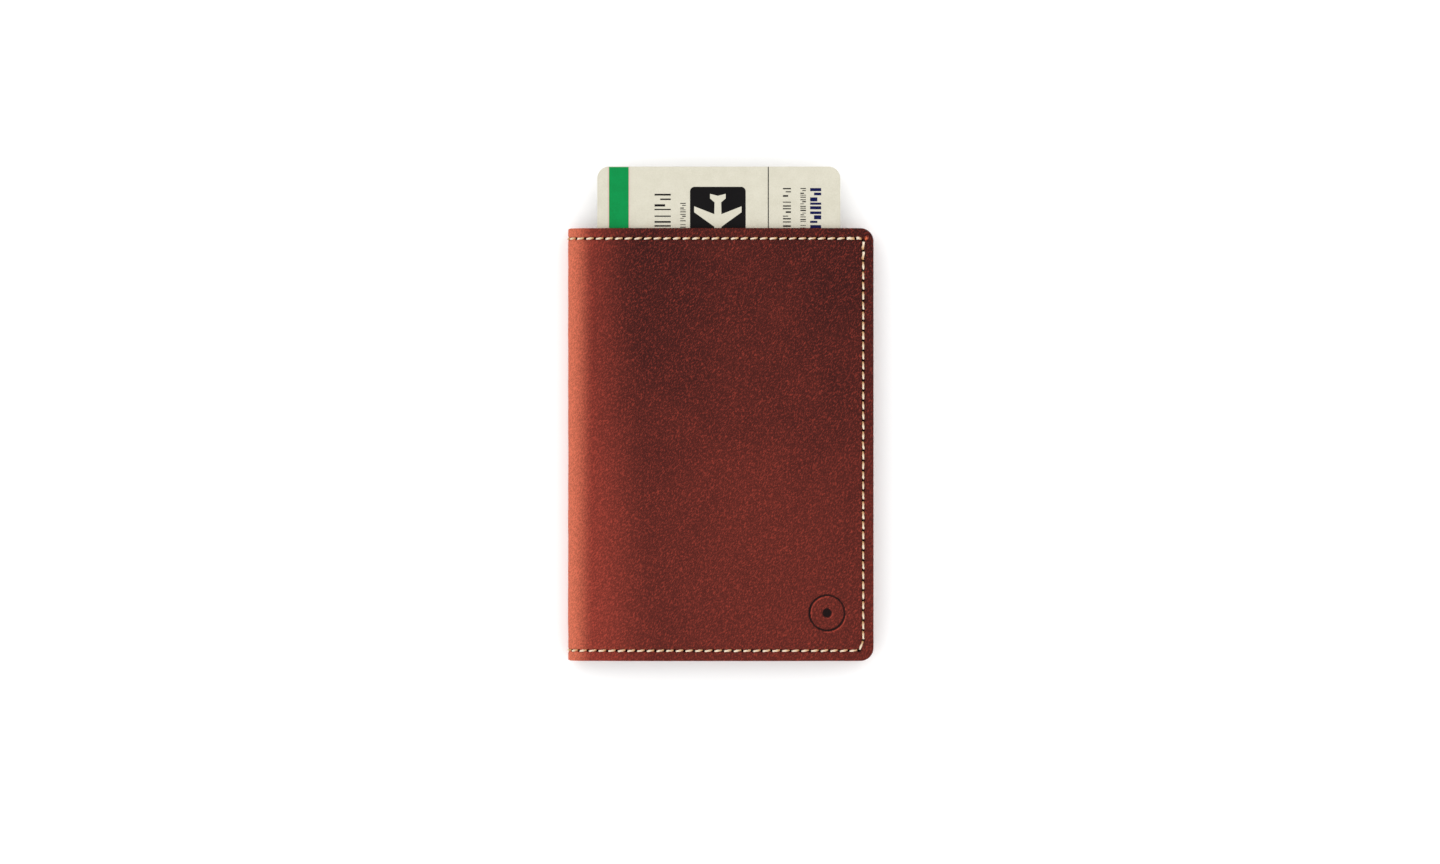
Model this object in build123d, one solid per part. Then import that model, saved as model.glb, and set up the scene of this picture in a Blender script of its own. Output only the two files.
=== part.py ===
"""Travel document holder in leather: a passport holder with a card side and a boarding pass pocket.

It lies closed on its back cover. X runs from the spine to the fore-edge, Y towards the top edge
and Z from the back cover to the front cover. The origin is the centre of the back cover's outer
face. Lengths are in millimetres.
"""
import os
from math import cos, degrees, radians, sin

from build123d import *

# Closed holder
COVER_WIDTH = 100.0
COVER_HEIGHT = 141.5
FORE_EDGE_CORNER_R = 4.3
SPINE_FOLD_R = 5.0

# Thickness of each layer, and the spaces between them
LEATHER = 1.3
LINING = 0.5
POCKET_LEATHER = 0.7
CARD_POCKET_LEATHER = 0.55
SLEEVE_SPACE = 0.5
PASSPORT_SPACE = 4.6
PASS_SPACE = 0.45

# Where the covers and the spine meet, half way round each fold
FOLD_SPLIT_DEG = 45.0
FOLD_SPLIT_GAP = 0.3

# Pockets
PANEL_LEFT = -44.8
MARGIN_LEFT = 3.6
MARGIN_RIGHT = 6.6
MARGIN_END = 4.45
PASS_POCKET_MOUTH = 65.7
THUMB_NOTCH_R = 11.0
SLEEVE_EDGE_CORNER_X = -12.0
SLEEVE_EDGE_MIDDLE_X = 0.0
CARD_MOUTHS = {"upper": 11.0, "middle": -2.0, "lower": -15.0}
CARD_POCKET_DEPTH = 52.0
CARD_WING_HEIGHT = 10.0
CARD_BODY_LEFT = -37.8
CARD_BODY_RIGHT = 43.0
SEAM_ABOVE_EDGE = 1.5

# Thread
THREAD_WIDTH = 0.9
THREAD_HEIGHT = 0.5
INNER_THREAD_HEIGHT = 0.25
STITCH_LENGTH = 2.4
STITCH_INSET = 3.4
CHANNEL_WIDTH = 1.1
FRONT_CHANNEL_DEPTH = 0.3
BACK_CHANNEL_DEPTH = 0.5
HIDDEN_CHANNEL_DEPTH = 0.3
END_ROW_PITCH = 3.157
END_ROW_COUNT = 28
TOP_ROW_LAST_X = 42.5
BOTTOM_ROW_LAST_X = 43.4
BOTTOM_ROW_COUNT = 28
FORE_EDGE_PITCH = 3.264
FORE_EDGE_COUNT = 40
FORE_EDGE_FIRST_Y = 65.0
ROW_SLANT_DEG = 12.0
FORE_EDGE_SLANT_DEG = 98.0
CORNER_STITCH = (45.85, -65.75)
CORNER_STITCH_DEG = 73.0
CORNER_POCKET_CLEARANCE = 0.1
SIDE_SEAM_X = -42.9
SIDE_SEAM_TOP = 62.0
BACKSTITCH_HEIGHT = 0.3
KNOT_R = 0.4

# Pressed ornament on the front cover: a plain ring round a small disc
ORNAMENT_CENTRE = (34.75, -55.0)
RING_OUTER_R = 6.2
RING_INNER_R = 5.3
DISC_R = 1.6
ORNAMENT_DEPTH = 0.25

# Boarding pass
PASS_WIDTH = 79.5
PASS_LENGTH = 150.0
PASS_THICKNESS = 0.22
PASS_CORNER_R = 3.9
PASS_CENTRE_X = -0.6
PASS_SHOWS = 20.2

# Heights of the layers above the surface that the holder lies on
BACK_LINING_TOP = LEATHER + LINING
SLEEVE_BOTTOM = BACK_LINING_TOP + SLEEVE_SPACE
SLEEVE_TOP = SLEEVE_BOTTOM + POCKET_LEATHER
CARD_LEVEL_0 = SLEEVE_TOP + PASSPORT_SPACE
CARD_LEVEL_1 = CARD_LEVEL_0 + CARD_POCKET_LEATHER
CARD_LEVEL_2 = CARD_LEVEL_1 + CARD_POCKET_LEATHER
CARD_LEVEL_3 = CARD_LEVEL_2 + CARD_POCKET_LEATHER
PASS_POCKET_TOP = CARD_LEVEL_3 + POCKET_LEATHER
FRONT_LINING_BOTTOM = PASS_POCKET_TOP + PASS_SPACE
THICKNESS = FRONT_LINING_BOTTOM + LINING + LEATHER

# Edges and lines worked out from the sizes above
SPINE_X = -COVER_WIDTH / 2
FORE_EDGE_X = COVER_WIDTH / 2
TOP_Y = COVER_HEIGHT / 2
FOLD_X = SPINE_X + SPINE_FOLD_R
UPPER_FOLD_Z = THICKNESS - SPINE_FOLD_R
LOWER_FOLD_Z = SPINE_FOLD_R
ROW_Y = TOP_Y - STITCH_INSET
COLUMN_X = FORE_EDGE_X - STITCH_INSET
SPLIT_GAP_DEG = degrees(FOLD_SPLIT_GAP / 2 / SPINE_FOLD_R)
COVER_END_DEG = 90 + FOLD_SPLIT_DEG - SPLIT_GAP_DEG
SPINE_START_DEG = 90 + FOLD_SPLIT_DEG + SPLIT_GAP_DEG
MIDDLE_PLANE = Plane.XY.offset(THICKNESS / 2)
OVERRUN = 1.0


def polar(centre, radius, angle_deg):
    """Point at a radius and angle round a centre, in the plane across the spine."""
    angle = radians(angle_deg)
    return (centre[0] + radius * cos(angle), centre[1] + radius * sin(angle))


def block(x_low, x_high, y_low, y_high, z_low, z_high):
    """Rectangular block given by its six faces."""
    middle = ((x_low + x_high) / 2, (y_low + y_high) / 2, (z_low + z_high) / 2)
    return Pos(*middle) * Box(x_high - x_low, y_high - y_low, z_high - z_low)


def plan_face(left, inset=0.0):
    """Outline of a cover seen from above, from x = left to the rounded fore-edge corners."""
    right = FORE_EDGE_X - inset
    height = COVER_HEIGHT - 2 * inset
    corner_r = max(FORE_EDGE_CORNER_R - inset, 0.4)
    outline = Pos((left + right) / 2, 0) * Rectangle(right - left, height)
    fore_edge_corners = outline.vertices().sort_by(Axis.X)[-2:]
    return fillet(fore_edge_corners, corner_r)


def plate(face, z_low, z_high):
    """Flat plate with an outline seen from above."""
    return extrude(Pos(0, 0, z_low) * face, z_high - z_low)


def extrude_across(lines, y_low, y_high):
    """Solid with an outline drawn in x and z, between two values of y."""
    face = Plane.XZ.offset(-y_high) * make_face(lines)
    return extrude(face, y_high - y_low)


def cover_wrap(outer_r, inner_r, y_low, y_high, right=FORE_EDGE_X):
    """Front cover layer: flat, then bent down round the fold as far as the split."""
    centre = (FOLD_X, UPPER_FOLD_Z)
    outer_arc = CenterArc(centre, outer_r, 90, COVER_END_DEG - 90)
    inner_arc = CenterArc(centre, inner_r, 90, COVER_END_DEG - 90)
    outer_z = UPPER_FOLD_Z + outer_r
    inner_z = UPPER_FOLD_Z + inner_r
    lines = [
        Line((right, outer_z), (FOLD_X, outer_z)),
        outer_arc,
        Line(polar(centre, outer_r, COVER_END_DEG), polar(centre, inner_r, COVER_END_DEG)),
        inner_arc,
        Line((FOLD_X, inner_z), (right, inner_z)),
        Line((right, inner_z), (right, outer_z)),
    ]
    return extrude_across(lines, y_low, y_high)


def spine_wrap(outer_r, inner_r, y_low, y_high):
    """Spine layer: from one split, round the folds and up the flat of the spine, to the other."""
    upper = (FOLD_X, UPPER_FOLD_Z)
    lower = (FOLD_X, LOWER_FOLD_Z)
    sweep = 180 - SPINE_START_DEG
    lower_end_deg = 180 + sweep
    lines = [
        CenterArc(upper, outer_r, SPINE_START_DEG, sweep),
        Line((FOLD_X - outer_r, UPPER_FOLD_Z), (FOLD_X - outer_r, LOWER_FOLD_Z)),
        CenterArc(lower, outer_r, 180, sweep),
        Line(polar(lower, outer_r, lower_end_deg), polar(lower, inner_r, lower_end_deg)),
        CenterArc(lower, inner_r, 180, sweep),
        Line((FOLD_X - inner_r, LOWER_FOLD_Z), (FOLD_X - inner_r, UPPER_FOLD_Z)),
        CenterArc(upper, inner_r, SPINE_START_DEG, sweep),
        Line(polar(upper, inner_r, SPINE_START_DEG), polar(upper, outer_r, SPINE_START_DEG)),
    ]
    return extrude_across(lines, y_low, y_high)


def row_ends(width):
    """The two bands in y, along the top and bottom edges, that the end rows of stitches follow."""
    return [(side * ROW_Y - width / 2, side * ROW_Y + width / 2) for side in (1, -1)]


def cover_leather(channel_depth):
    """Outer leather of the front cover, with the channel that the border stitches lie in."""
    leather = cover_wrap(SPINE_FOLD_R, SPINE_FOLD_R - LEATHER, -TOP_Y, TOP_Y)
    leather &= plate(plan_face(SPINE_X - OVERRUN), 0, THICKNESS + OVERRUN)
    channel_edge = plan_face(FOLD_X, STITCH_INSET - CHANNEL_WIDTH / 2)
    channel_edge -= plan_face(FOLD_X - OVERRUN, STITCH_INSET + CHANNEL_WIDTH / 2)
    leather -= plate(channel_edge, THICKNESS - channel_depth, THICKNESS + OVERRUN)
    floor_r = SPINE_FOLD_R - channel_depth
    for y_low, y_high in row_ends(CHANNEL_WIDTH):
        leather -= cover_wrap(SPINE_FOLD_R + OVERRUN, floor_r, y_low, y_high, FOLD_X + OVERRUN)
    corner_pocket = SlotOverall(STITCH_LENGTH + CORNER_POCKET_CLEARANCE, CHANNEL_WIDTH)
    corner_pocket = Pos(*CORNER_STITCH) * Rot(0, 0, CORNER_STITCH_DEG) * corner_pocket
    return leather - plate(corner_pocket, THICKNESS - channel_depth, THICKNESS + OVERRUN)


def cover_lining():
    """Lining glued inside the front cover."""
    outer_r = SPINE_FOLD_R - LEATHER
    lining = cover_wrap(outer_r, outer_r - LINING, -TOP_Y, TOP_Y)
    return lining & plate(plan_face(SPINE_X - OVERRUN), 0, THICKNESS)


def to_back(shape):
    """Mirror a front cover layer onto the back cover."""
    return mirror(shape, about=MIDDLE_PLANE)


def front_cover_leather():
    """Front cover, with the pressed ornament."""
    leather = cover_leather(FRONT_CHANNEL_DEPTH)
    ornament = Circle(RING_OUTER_R) - Circle(RING_INNER_R) + Circle(DISC_R)
    ornament = Pos(*ORNAMENT_CENTRE) * ornament
    return leather - plate(ornament, THICKNESS - ORNAMENT_DEPTH, THICKNESS + OVERRUN)


def spine_leather():
    """Outer leather of the spine, with the ends of the two rows' channels."""
    leather = spine_wrap(SPINE_FOLD_R, SPINE_FOLD_R - LEATHER, -TOP_Y, TOP_Y)
    floor_r = SPINE_FOLD_R - BACK_CHANNEL_DEPTH
    for y_low, y_high in row_ends(CHANNEL_WIDTH):
        leather -= spine_wrap(SPINE_FOLD_R + OVERRUN, floor_r, y_low, y_high)
    return leather


def spine_lining():
    """Lining glued inside the spine."""
    outer_r = SPINE_FOLD_R - LEATHER
    return spine_wrap(outer_r, outer_r - LINING, -TOP_Y, TOP_Y)


def front_cover_lining():
    """Front lining, with the shallow channel for the stitches above the pass pocket's mouth."""
    lining = cover_lining()
    y_low, y_high = row_ends(CHANNEL_WIDTH)[0]
    channel_top = FRONT_LINING_BOTTOM + HIDDEN_CHANNEL_DEPTH
    channel_right = COLUMN_X + CHANNEL_WIDTH / 2
    return lining - block(FOLD_X, channel_right, y_low, y_high, 0, channel_top)


def boarding_pass_pocket_panel():
    """Slip pocket behind the front cover, open at the top, with margins glued to the lining."""
    outline = plan_face(PANEL_LEFT)
    above_mouth = Pos(0, PASS_POCKET_MOUTH + TOP_Y) * Rectangle(2 * COVER_WIDTH, 2 * TOP_Y)
    outline -= above_mouth
    outline -= Pos(PASS_CENTRE_X, PASS_POCKET_MOUTH) * Circle(THUMB_NOTCH_R)
    pocket_left = PANEL_LEFT + MARGIN_LEFT
    pocket_right = FORE_EDGE_X - MARGIN_RIGHT
    pocket_bottom = MARGIN_END - TOP_Y
    panel = plate(outline, CARD_LEVEL_3, FRONT_LINING_BOTTOM)
    return panel - block(pocket_left, pocket_right, pocket_bottom, TOP_Y, PASS_POCKET_TOP, THICKNESS)


def card_wings(mouth, bottom, z_low, z_high):
    """Full-width part of a card pocket, down to its wings' lower edge."""
    height = mouth - bottom
    band = Pos(0, mouth - height / 2) * Rectangle(2 * COVER_WIDTH, height)
    return plate(plan_face(PANEL_LEFT) & band, z_low, z_high)


def stepped_card_pocket(name, z_low, z_high):
    """T-shaped card pocket: wings held in the side seams, and a narrower body sewn at its foot."""
    mouth = CARD_MOUTHS[name]
    foot = mouth - CARD_POCKET_DEPTH
    wings = card_wings(mouth, mouth - CARD_WING_HEIGHT, z_low, z_high)
    body = block(CARD_BODY_LEFT, CARD_BODY_RIGHT, foot, mouth, z_low, z_high)
    seam_y = foot + SEAM_ABOVE_EDGE
    half_channel = CHANNEL_WIDTH / 2
    channel = block(SPINE_X, FORE_EDGE_X, seam_y - half_channel, seam_y + half_channel, 0,
                    z_low + HIDDEN_CHANNEL_DEPTH)
    return wings + body - channel


def card_pocket_upper_panel():
    """Card pocket nearest the top, next to the pass pocket."""
    return stepped_card_pocket("upper", CARD_LEVEL_2, CARD_LEVEL_3)


def card_pocket_middle_panel():
    """Middle card pocket, whose wings reach past the upper pocket's body to the pass pocket."""
    mouth = CARD_MOUTHS["middle"]
    panel = stepped_card_pocket("middle", CARD_LEVEL_1, CARD_LEVEL_2)
    spacer = card_wings(mouth, mouth - CARD_WING_HEIGHT, CARD_LEVEL_2, CARD_LEVEL_3)
    spacer -= block(CARD_BODY_LEFT, CARD_BODY_RIGHT, -TOP_Y, TOP_Y, 0, THICKNESS)
    return panel + spacer


def card_pocket_lower_panel():
    """Lowest card pocket, over the other two, with margins that reach the pass pocket."""
    panel = card_wings(CARD_MOUTHS["lower"], -TOP_Y, CARD_LEVEL_0, CARD_LEVEL_3)
    pocket_bottom = MARGIN_END - TOP_Y
    return panel - block(CARD_BODY_LEFT, CARD_BODY_RIGHT, pocket_bottom, TOP_Y, CARD_LEVEL_1, THICKNESS)


def passport_sleeve_panel():
    """Sleeve for the passport's back cover, sewn on three sides and open towards the spine."""
    top = (SLEEVE_EDGE_CORNER_X, TOP_Y)
    bottom = (SLEEVE_EDGE_CORNER_X, -TOP_Y)
    open_side = make_face([
        ThreePointArc(top, (SLEEVE_EDGE_MIDDLE_X, 0), bottom),
        Line(bottom, (SPINE_X, -TOP_Y)),
        Line((SPINE_X, -TOP_Y), (SPINE_X, TOP_Y)),
        Line((SPINE_X, TOP_Y), top),
    ])
    panel = plate(plan_face(SPINE_X) - open_side, BACK_LINING_TOP, SLEEVE_TOP)
    pocket_right = FORE_EDGE_X - MARGIN_RIGHT
    pocket_top = TOP_Y - MARGIN_END
    return panel - block(SPINE_X, pocket_right, -pocket_top, pocket_top, 0, SLEEVE_BOTTOM)


def row_xs(last_x, count):
    """Stitch centres along an end row, from the fore-edge towards the spine."""
    return [last_x - index * END_ROW_PITCH for index in range(count)]


def column_ys():
    """Stitch centres down the fore-edge."""
    return [FORE_EDGE_FIRST_Y - index * FORE_EDGE_PITCH for index in range(FORE_EDGE_COUNT)]


def border_stitches():
    """Centre and direction of each border stitch on the flat of a cover."""
    top = [(x, ROW_Y, ROW_SLANT_DEG) for x in row_xs(TOP_ROW_LAST_X, END_ROW_COUNT)]
    bottom = [(x, -ROW_Y, ROW_SLANT_DEG) for x in row_xs(BOTTOM_ROW_LAST_X, BOTTOM_ROW_COUNT)]
    column = [(COLUMN_X, y, FORE_EDGE_SLANT_DEG) for y in column_ys()]
    return top + column + [(*CORNER_STITCH, CORNER_STITCH_DEG)] + bottom


def stitch_maker(height):
    """A function that lays one stitch, with rounded upper edges, on the level z."""
    slot = extrude(SlotOverall(STITCH_LENGTH, THREAD_WIDTH * 0.75), height)
    rounded = fillet(slot.faces().sort_by(Axis.Z)[-1].edges(), height * 0.4)

    def lay(x, y, z, angle_deg, flip=False):
        """Place the stitch; flip turns its rounded side down and hangs it below z."""
        turned = Rot(180, 0, 0) * rounded if flip else rounded
        return Pos(x, y, z) * Rot(0, 0, angle_deg) * turned

    return lay


def fold_stitch(outer_r, inner_r, middle_deg, y):
    """Stitch bent round the upper fold of the spine."""
    centre = (FOLD_X, UPPER_FOLD_Z)
    half_deg = degrees(STITCH_LENGTH / 2 / SPINE_FOLD_R)
    start = middle_deg - half_deg
    end = middle_deg + half_deg
    lines = [
        CenterArc(centre, outer_r, start, 2 * half_deg),
        Line(polar(centre, outer_r, end), polar(centre, inner_r, end)),
        CenterArc(centre, inner_r, start, 2 * half_deg),
        Line(polar(centre, inner_r, start), polar(centre, outer_r, start)),
    ]
    return extrude_across(lines, y - THREAD_WIDTH / 2, y + THREAD_WIDTH / 2)


def cover_fold_stitches(channel_depth):
    """The last stitch of each end row, bent round the front cover's share of the fold."""
    floor_r = SPINE_FOLD_R - channel_depth
    fold_middle = 90 + FOLD_SPLIT_DEG / 2
    ends = (ROW_Y, -ROW_Y)
    return [fold_stitch(floor_r + THREAD_HEIGHT, floor_r, fold_middle, y) for y in ends]


def front_cover_outer_stitches():
    """Stitches seen on the outside of the front cover."""
    lay = stitch_maker(THREAD_HEIGHT)
    level = THICKNESS - FRONT_CHANNEL_DEPTH
    flat = [lay(x, y, level, angle) for x, y, angle in border_stitches()]
    return flat + cover_fold_stitches(FRONT_CHANNEL_DEPTH)


def back_cover_outer_stitches():
    """Stitches seen on the outside of the back cover, sunk flush with the leather."""
    lay = stitch_maker(THREAD_HEIGHT)
    flat = [lay(x, y, BACK_CHANNEL_DEPTH, angle, flip=True) for x, y, angle in border_stitches()]
    return flat + [to_back(stitch) for stitch in cover_fold_stitches(BACK_CHANNEL_DEPTH)]


def front_inner_level(x, y):
    """Height of the front cover's inner face where a stitch comes through."""
    if y > PASS_POCKET_MOUTH:
        return FRONT_LINING_BOTTOM + INNER_THREAD_HEIGHT
    if y > CARD_MOUTHS["upper"]:
        return CARD_LEVEL_3
    if y > CARD_MOUTHS["middle"]:
        return CARD_LEVEL_2
    if y > CARD_MOUTHS["lower"]:
        return CARD_LEVEL_1
    return CARD_LEVEL_0


def crosses_mouth(y):
    """Whether a stitch along the fore-edge would lie across the edge of a pocket."""
    edges = [*CARD_MOUTHS.values(), PASS_POCKET_MOUTH]
    return any(abs(y - edge) < STITCH_LENGTH / 2 for edge in edges)


def front_cover_inner_stitches():
    """The same border stitches on the inside of the front cover."""
    lay = stitch_maker(INNER_THREAD_HEIGHT)
    stitches = []
    for x, y, angle in border_stitches():
        in_row = abs(abs(y) - ROW_Y) < CHANNEL_WIDTH
        if in_row or not crosses_mouth(y):
            stitches.append(lay(x, y, front_inner_level(x, y), angle, flip=True))
    return stitches


def back_cover_inner_stitches():
    """The border stitches on the inside of the back cover, on the sleeve and on the lining."""
    lay = stitch_maker(INNER_THREAD_HEIGHT)
    stitches = []
    for x, y, angle in border_stitches():
        past_sleeve_edge = x - SLEEVE_EDGE_CORNER_X
        level = SLEEVE_TOP if past_sleeve_edge > 0 else BACK_LINING_TOP
        if abs(past_sleeve_edge) > STITCH_LENGTH:
            stitches.append(lay(x, y, level, angle))
    return stitches


def spine_stitches(outer_r, inner_r):
    """Stitches across the spine at each end: one on each fold and one on the flat between."""
    fold_middle = 180 - FOLD_SPLIT_DEG / 2
    flat_low = LOWER_FOLD_Z
    flat_high = UPPER_FOLD_Z
    stitches = []
    for y_low, y_high in row_ends(THREAD_WIDTH):
        upper = fold_stitch(outer_r, inner_r, fold_middle, (y_low + y_high) / 2)
        flat = block(FOLD_X - outer_r, FOLD_X - inner_r, y_low, y_high, flat_low, flat_high)
        stitches += [upper, to_back(upper), flat]
    return stitches


def spine_outer_stitches():
    """Stitches across the outside of the spine, in their channel."""
    floor_r = SPINE_FOLD_R - BACK_CHANNEL_DEPTH
    return spine_stitches(SPINE_FOLD_R, floor_r)


def spine_inner_stitches():
    """Stitches across the lining of the spine."""
    lining_r = SPINE_FOLD_R - LEATHER - LINING
    return spine_stitches(lining_r, lining_r - INNER_THREAD_HEIGHT)


def seam_stitches(name, level):
    """Stitches that close the foot of a stepped card pocket, sunk in its channel."""
    lay = stitch_maker(INNER_THREAD_HEIGHT)
    y = CARD_MOUTHS[name] - CARD_POCKET_DEPTH + SEAM_ABOVE_EDGE
    span = CARD_BODY_RIGHT - CARD_BODY_LEFT - 2 * STITCH_LENGTH
    count = int(span / END_ROW_PITCH)
    first_x = CARD_BODY_LEFT + STITCH_LENGTH
    xs = [first_x + index * END_ROW_PITCH for index in range(count + 1)]
    return [lay(x, y, level + INNER_THREAD_HEIGHT, 0, flip=True) for x in xs]


def card_pocket_side_stitches():
    """Seam down the spine side of the pockets, through the pockets and the lining only."""
    lay = stitch_maker(INNER_THREAD_HEIGHT)
    count = int((SIDE_SEAM_TOP + ROW_Y - STITCH_LENGTH) / FORE_EDGE_PITCH)
    ys = [SIDE_SEAM_TOP - index * FORE_EDGE_PITCH for index in range(count)]
    return [lay(SIDE_SEAM_X, y, front_inner_level(SIDE_SEAM_X, y), 90, flip=True)
            for y in ys if not crosses_mouth(y)]


def front_corner_backstitches():
    """Second pass of thread over the stitches at the top corner of the fore-edge."""
    lay = stitch_maker(BACKSTITCH_HEIGHT)
    level = THICKNESS - FRONT_CHANNEL_DEPTH + THREAD_HEIGHT
    column = [lay(COLUMN_X, y, level, FORE_EDGE_SLANT_DEG) for y in column_ys()[:2]]
    return [lay(TOP_ROW_LAST_X, ROW_Y, level, ROW_SLANT_DEG), *column]


def corner_thread_knot():
    """Frayed end of the thread, pressed into a small knot beside the corner stitch."""
    channel_outer = COLUMN_X + CHANNEL_WIDTH / 2
    return Pos(channel_outer + KNOT_R, ROW_Y, THICKNESS + KNOT_R) * Sphere(KNOT_R)


def boarding_pass():
    """Printed card pass, standing out of the top of its pocket."""
    top = TOP_Y + PASS_SHOWS
    middle_z = PASS_POCKET_TOP + PASS_SPACE / 2
    face = RectangleRounded(PASS_WIDTH, PASS_LENGTH, PASS_CORNER_R)
    face = Pos(PASS_CENTRE_X, top - PASS_LENGTH / 2) * face
    return plate(face, middle_z - PASS_THICKNESS / 2, middle_z + PASS_THICKNESS / 2)


def all_nodes():
    """Every separate piece, by name. A group of like stitches is a list of solids."""
    return {
        "back_cover_leather": to_back(cover_leather(BACK_CHANNEL_DEPTH)),
        "back_cover_lining": to_back(cover_lining()),
        "passport_sleeve_panel": passport_sleeve_panel(),
        "back_cover_outer_stitches": back_cover_outer_stitches(),
        "back_cover_inner_stitches": back_cover_inner_stitches(),
        "spine_leather": spine_leather(),
        "spine_lining": spine_lining(),
        "spine_outer_stitches": spine_outer_stitches(),
        "spine_inner_stitches": spine_inner_stitches(),
        "front_cover_leather": front_cover_leather(),
        "front_cover_lining": front_cover_lining(),
        "boarding_pass_pocket_panel": boarding_pass_pocket_panel(),
        "card_pocket_upper_panel": card_pocket_upper_panel(),
        "card_pocket_middle_panel": card_pocket_middle_panel(),
        "card_pocket_lower_panel": card_pocket_lower_panel(),
        "front_cover_outer_stitches": front_cover_outer_stitches(),
        "front_cover_inner_stitches": front_cover_inner_stitches(),
        "card_pocket_upper_seam": seam_stitches("upper", CARD_LEVEL_2),
        "card_pocket_middle_seam": seam_stitches("middle", CARD_LEVEL_1),
        "card_pocket_side_seam": card_pocket_side_stitches(),
        "front_corner_backstitches": front_corner_backstitches(),
        "corner_thread_knot": corner_thread_knot(),
        "boarding_pass": boarding_pass(),
    }


def main():
    """Write one STEP file for each piece."""
    os.makedirs("parts", exist_ok=True)
    for name, shape in all_nodes().items():
        if isinstance(shape, list):
            shape = Compound(children=shape)
        export_step(shape, f"parts/{name}.step")
    pivot_offset = SPINE_FOLD_R * (1 - cos(radians(FOLD_SPLIT_DEG)))
    print(f"thickness {THICKNESS:.3f}, fold pivots {pivot_offset:.4f} in from the outer faces")


main()
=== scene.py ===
"""Looks of a leather passport holder with a boarding pass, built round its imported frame.

Lengths are in millimetres until a mesh is made. X runs from the spine to the fore-edge, Y to the
top edge and Z up from the back cover. Each layer of leather is a closed sheet, drawn on a grid of
lines, with its creases, stitch pits and rounded edges as real shape.
"""
import math

import bmesh
import bpy
import numpy as np
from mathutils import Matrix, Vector


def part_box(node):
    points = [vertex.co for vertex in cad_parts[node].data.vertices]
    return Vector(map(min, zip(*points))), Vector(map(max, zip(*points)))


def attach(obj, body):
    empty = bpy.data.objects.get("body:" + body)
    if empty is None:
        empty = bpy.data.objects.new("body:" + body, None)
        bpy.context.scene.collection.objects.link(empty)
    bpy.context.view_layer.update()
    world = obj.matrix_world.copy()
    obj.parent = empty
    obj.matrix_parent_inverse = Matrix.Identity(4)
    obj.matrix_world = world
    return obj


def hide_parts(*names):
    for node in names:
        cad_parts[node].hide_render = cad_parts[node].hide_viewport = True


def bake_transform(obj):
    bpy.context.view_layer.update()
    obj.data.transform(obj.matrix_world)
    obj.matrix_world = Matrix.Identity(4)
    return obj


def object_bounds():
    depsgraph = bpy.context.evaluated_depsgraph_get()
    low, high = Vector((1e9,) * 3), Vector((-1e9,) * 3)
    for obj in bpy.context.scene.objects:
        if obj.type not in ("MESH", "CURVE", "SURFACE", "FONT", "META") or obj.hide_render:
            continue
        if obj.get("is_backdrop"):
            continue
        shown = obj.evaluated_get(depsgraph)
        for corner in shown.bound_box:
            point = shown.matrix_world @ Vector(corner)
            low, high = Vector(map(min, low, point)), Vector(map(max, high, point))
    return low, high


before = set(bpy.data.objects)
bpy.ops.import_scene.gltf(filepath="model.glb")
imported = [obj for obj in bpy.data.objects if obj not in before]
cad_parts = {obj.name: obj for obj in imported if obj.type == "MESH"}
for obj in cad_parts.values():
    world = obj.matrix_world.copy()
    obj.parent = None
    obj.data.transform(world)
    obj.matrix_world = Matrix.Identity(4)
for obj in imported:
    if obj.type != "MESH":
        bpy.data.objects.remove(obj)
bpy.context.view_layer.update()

MM = 0.001


def node_box(node):
    """Lowest and highest corner of a CAD node, in millimetres."""
    low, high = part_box(node)
    return np.array(low) / MM, np.array(high) / MM


# Sizes read from the frame
front_high = node_box("front_cover_leather")[1]
spine_low = node_box("spine_leather")[0]
sleeve_low, sleeve_high = node_box("passport_sleeve_panel")
pocket_low, pocket_high = node_box("boarding_pass_pocket_panel")
pass_low, pass_high = node_box("boarding_pass")

RIGHT = front_high[0]
LEFT = spine_low[0]
TOP = front_high[1]
THICK = front_high[2]
FOLD_R = 5.0
LEATHER = 1.3
LINING = 0.5
POCKET_LEATHER = 0.7
CARD_LEATHER = 0.55
CORNER_R = 4.3
FLAT_START = LEFT + FOLD_R
FOLD_LENGTH = math.pi * FOLD_R / 2
SPINE_MIDDLE = FLAT_START - FOLD_LENGTH - (THICK / 2 - FOLD_R)
INSET = 3.4
ROW_Y = TOP - INSET
COLUMN_X = RIGHT - INSET
ROW_PITCH = 3.157
COLUMN_PITCH = 3.264
TOP_ROW_LAST = 42.5
BOTTOM_ROW_SHIFT = 0.9
COLUMN_FIRST = 65.0
COLUMN_COUNT = 40
HOLE_GAP = ROW_PITCH / 2
CHANNEL_DEPTH = 0.16
PIT_DEPTH = 0.75
PIT_RADIUS = 0.42
RNG = np.random.default_rng(7)


# ---------------------------------------------------------------- small numeric helpers

def smooth(t):
    """Smoothstep, clamped."""
    t = np.clip(t, 0.0, 1.0)
    return t * t * (3 - 2 * t)


def wave_noise(x, y, size, seed):
    """Gentle hills about one unit high, from a few crossed waves of the given size."""
    rng = np.random.default_rng(seed)
    total = np.zeros_like(np.asarray(x, float))
    for _ in range(7):
        angle, phase = rng.uniform(0, 2 * math.pi, 2)
        length = size * rng.uniform(0.7, 1.6)
        along = x * math.cos(angle) + y * math.sin(angle)
        total = total + np.sin(along * 2 * math.pi / length + phase)
    return total / 3.5


def edge_distance(x, y):
    """Distance inside the covers' outline, whose fore-edge corners are rounded."""
    dx = RIGHT - x
    dy = TOP - np.abs(y)
    cx = CORNER_R - dx
    cy = CORNER_R - dy
    in_corner = (cx > 0) & (cy > 0)
    return np.where(in_corner, CORNER_R - np.hypot(cx, cy), np.minimum(dx, dy))


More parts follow.
